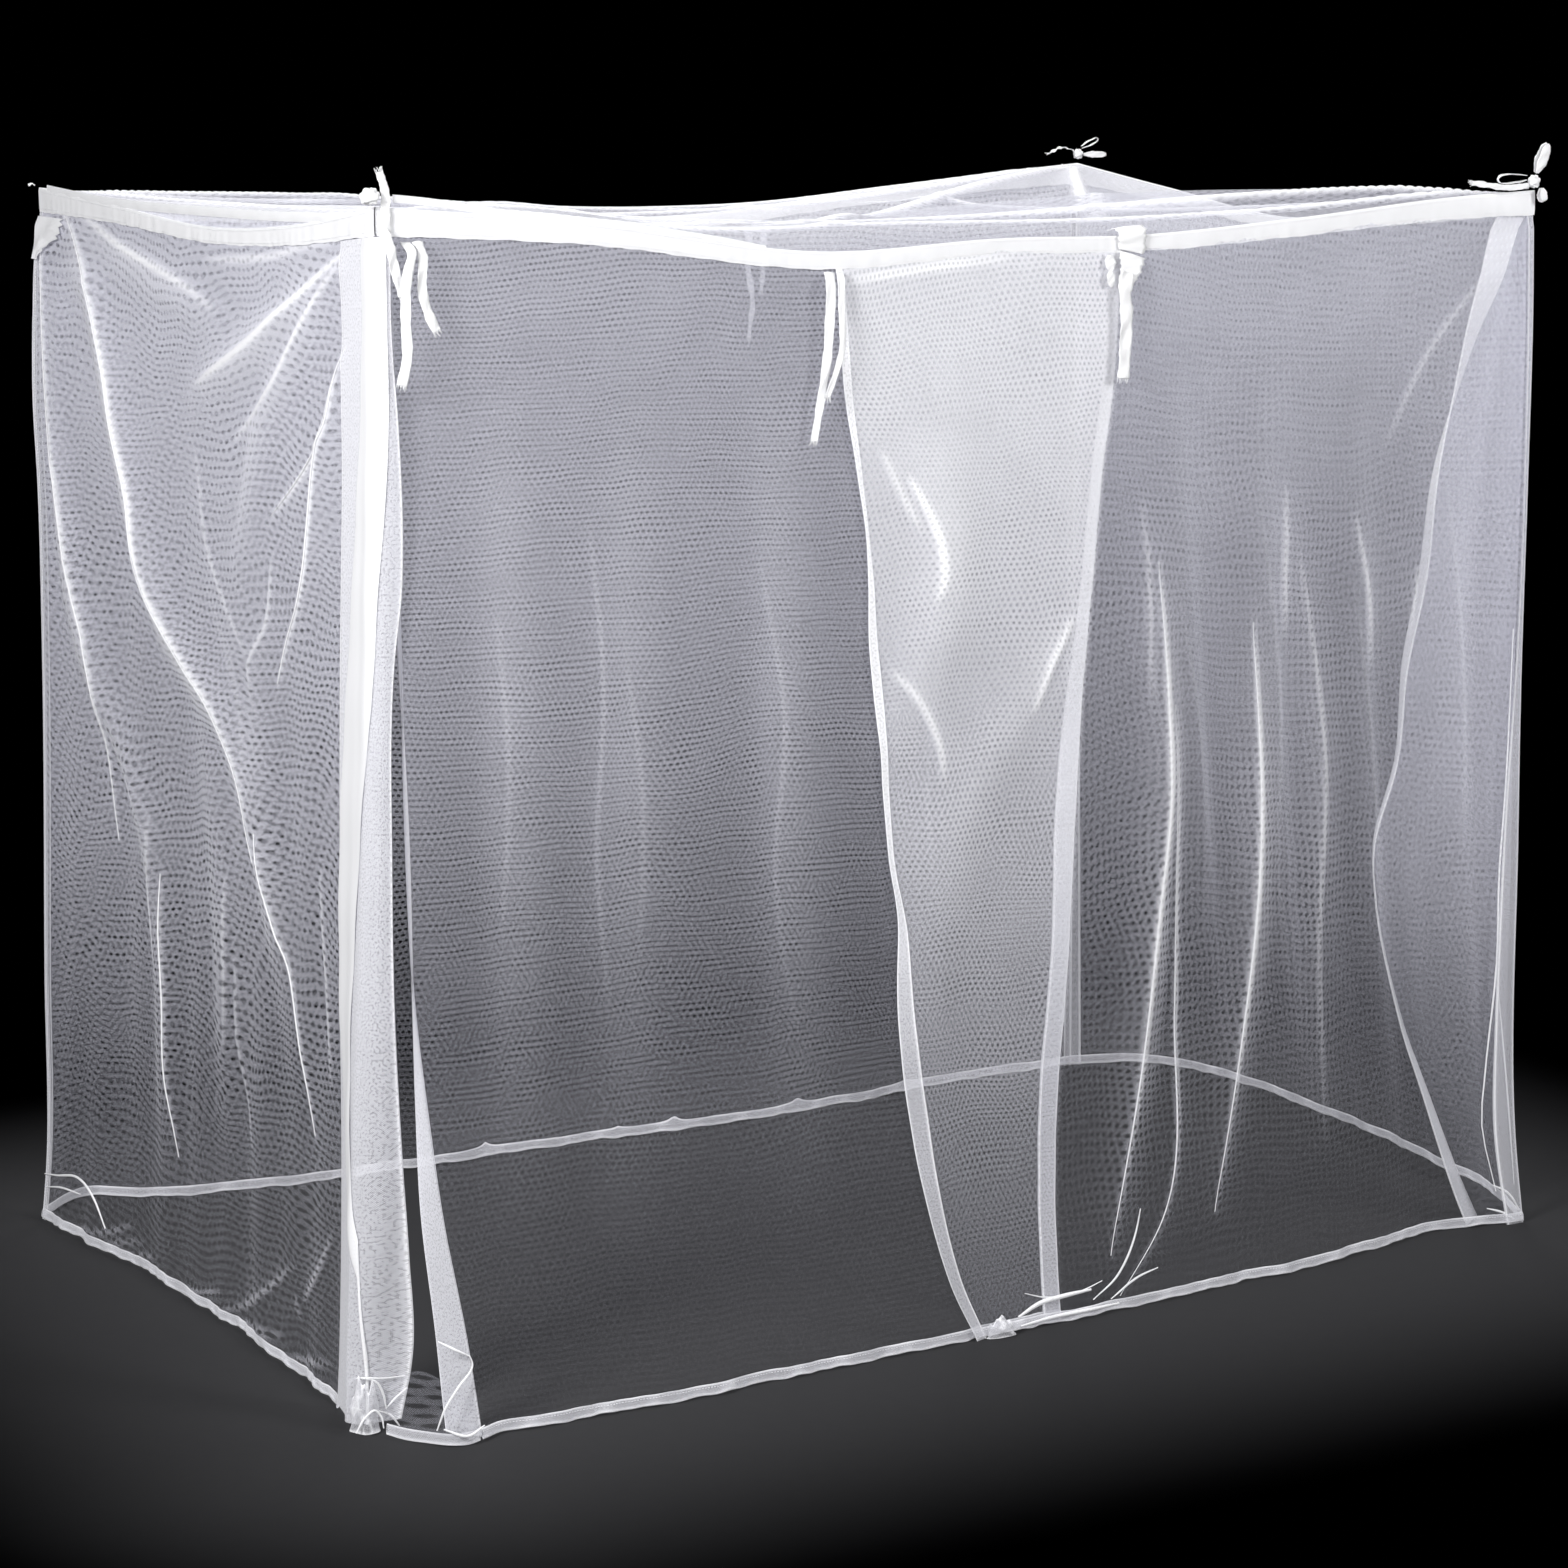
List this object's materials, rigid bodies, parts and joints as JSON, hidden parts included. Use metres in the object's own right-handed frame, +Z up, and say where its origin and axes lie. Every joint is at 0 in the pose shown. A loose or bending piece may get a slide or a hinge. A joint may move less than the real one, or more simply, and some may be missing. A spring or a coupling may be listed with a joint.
{
  "type": "box mosquito net",
  "caption": "Rectangular box mosquito net for one bed, with a bound flat roof, hemmed hanging curtains, an overlapping front opening and ribbon ties at its top corners.",
  "frame": {"origin": "on the floor, under the middle of the box round the net", "axes": "+X along the long sides, +Y from the front opening to the back, +Z up"},
  "size_m": [2.0823, 1.3659, 1.6645],
  "materials": {
    "mesh": "fine white net",
    "hem": "doubled white net",
    "tape": "woven white binding tape",
    "ribbon": "woven white ribbon"
  },
  "bodies": {
    "net_top": {"roof_panel": "mesh", "front_tape": "tape", "back_tape": "tape", "left_tape": "tape", "right_tape": "tape", "near_tie_knot": "ribbon", "near_tie_wrap": "ribbon", "right_bow_knot": "ribbon", "right_bow_upper_loop": "ribbon", "right_bow_lower_loop": "ribbon", "right_bow_flat_loop": "ribbon", "right_bow_tail": "ribbon", "back_bow_knot": "ribbon", "back_bow_long_loop": "ribbon", "back_bow_upper_loop": "ribbon", "back_bow_tail": "ribbon", "back_left_tie": "ribbon", "outer_door_tie_wrap": "ribbon"},
    "left_curtain": {"left_wall": "mesh", "left_wall_back_hem": "hem", "left_wall_bottom_hem": "hem", "near_corner_strip": "hem", "near_corner_gusset": "mesh", "near_corner_gusset_hem": "hem", "back_corner_patch": "hem"},
    "back_curtain": {"back_wall": "mesh", "back_wall_left_hem": "hem", "back_wall_right_hem": "hem", "back_wall_bottom_hem": "hem"},
    "right_curtain": {"right_wall": "mesh", "right_wall_back_hem": "hem", "right_wall_bottom_hem": "hem", "right_flap": "mesh", "right_flap_hem": "hem"},
    "inner_curtain": {"inner_door": "mesh", "inner_door_edge_hem": "hem", "inner_door_corner_hem": "hem", "inner_door_bottom_hem": "hem"},
    "outer_curtain": {"outer_door": "mesh", "outer_door_edge_hem": "hem", "outer_door_corner_hem": "hem", "outer_door_bottom_hem": "hem"},
    "near_tie_short": {"near_tie_short_end": "ribbon"},
    "near_tie_long": {"near_tie_long_end": "ribbon"},
    "near_tie_frayed": {"near_tie_frayed_end": "ribbon"},
    "back_bow_loop": {"back_bow_hanging_loop": "ribbon"},
    "left_door_tie": {"outer_door_left_tie": "ribbon"},
    "left_door_tie_side": {"outer_door_left_tie_side": "ribbon"},
    "right_door_tie": {"outer_door_tie_fall": "ribbon", "outer_door_tie_lobe": "ribbon", "outer_door_right_tie": "ribbon"},
    "back_tie_long": {"back_tie_long_end": "ribbon"},
    "back_tie_short": {"back_tie_short_end": "ribbon"}
  },
  "joints": [
    {"name": "left_curtain_lift", "type": "hinge", "parent": "net_top", "child": "left_curtain", "pos_m": [-0.9763, 0.0503, 1.5646], "axis": [0, 1, 0.0026], "range_deg": [0, 40]},
    {"name": "back_curtain_lift", "type": "hinge", "parent": "net_top", "child": "back_curtain", "pos_m": [-0.0263, 0.6503, 1.5628], "axis": [1, 0, 0.0082], "range_deg": [0, 40]},
    {"name": "right_curtain_lift", "type": "hinge", "parent": "net_top", "child": "right_curtain", "pos_m": [0.9237, 0.0503, 1.5621], "axis": [0, -0.9999, -0.0152], "range_deg": [0, 40]},
    {"name": "inner_curtain_lift", "type": "hinge", "parent": "net_top", "child": "inner_curtain", "pos_m": [-0.4006, -0.5452, 1.5427], "axis": [0.9989, 0, -0.047], "range_deg": [0, 30]},
    {"name": "outer_curtain_lift", "type": "hinge", "parent": "net_top", "child": "outer_curtain", "pos_m": [0.3129, -0.5542, 1.5314], "axis": [-0.9991, 0, -0.0413], "range_deg": [0, 60]},
    {"name": "near_tie_short_swing", "type": "hinge", "parent": "net_top", "child": "near_tie_short", "pos_m": [-0.9723, -0.5587, 1.574], "axis": [-1, 0, 0], "range_deg": [0, 60]},
    {"name": "near_tie_long_swing", "type": "hinge", "parent": "net_top", "child": "near_tie_long", "pos_m": [-0.9393, -0.5557, 1.556], "axis": [-1, 0, 0], "range_deg": [0, 60]},
    {"name": "near_tie_frayed_swing", "type": "hinge", "parent": "net_top", "child": "near_tie_frayed", "pos_m": [-0.9223, -0.5557, 1.556], "axis": [-1, 0, 0], "range_deg": [0, 60]},
    {"name": "back_bow_loop_swing", "type": "hinge", "parent": "net_top", "child": "back_bow_loop", "pos_m": [0.9197, 0.6623, 1.602], "axis": [1, 0, 0], "range_deg": [0, 60]},
    {"name": "left_door_tie_swing", "type": "hinge", "parent": "outer_curtain", "child": "left_door_tie", "pos_m": [-0.3128, -0.5587, 1.5013], "axis": [-1, 0, 0], "range_deg": [0, 60]},
    {"name": "left_door_tie_side_swing", "type": "hinge", "parent": "outer_curtain", "child": "left_door_tie_side", "pos_m": [-0.2958, -0.5587, 1.5013], "axis": [-1, 0, 0], "range_deg": [0, 60]},
    {"name": "right_door_tie_swing", "type": "hinge", "parent": "outer_curtain", "child": "right_door_tie", "pos_m": [0.1845, -0.5597, 1.5134], "axis": [-1, 0, 0], "range_deg": [0, 60]},
    {"name": "back_tie_long_swing", "type": "hinge", "parent": "back_curtain", "child": "back_tie_long", "pos_m": [0.2682, 0.6563, 1.5073], "axis": [1, 0, 0], "range_deg": [0, 60]},
    {"name": "back_tie_short_swing", "type": "hinge", "parent": "back_curtain", "child": "back_tie_short", "pos_m": [0.2929, 0.6563, 1.5098], "axis": [1, 0, 0], "range_deg": [0, 60]}
  ]
}
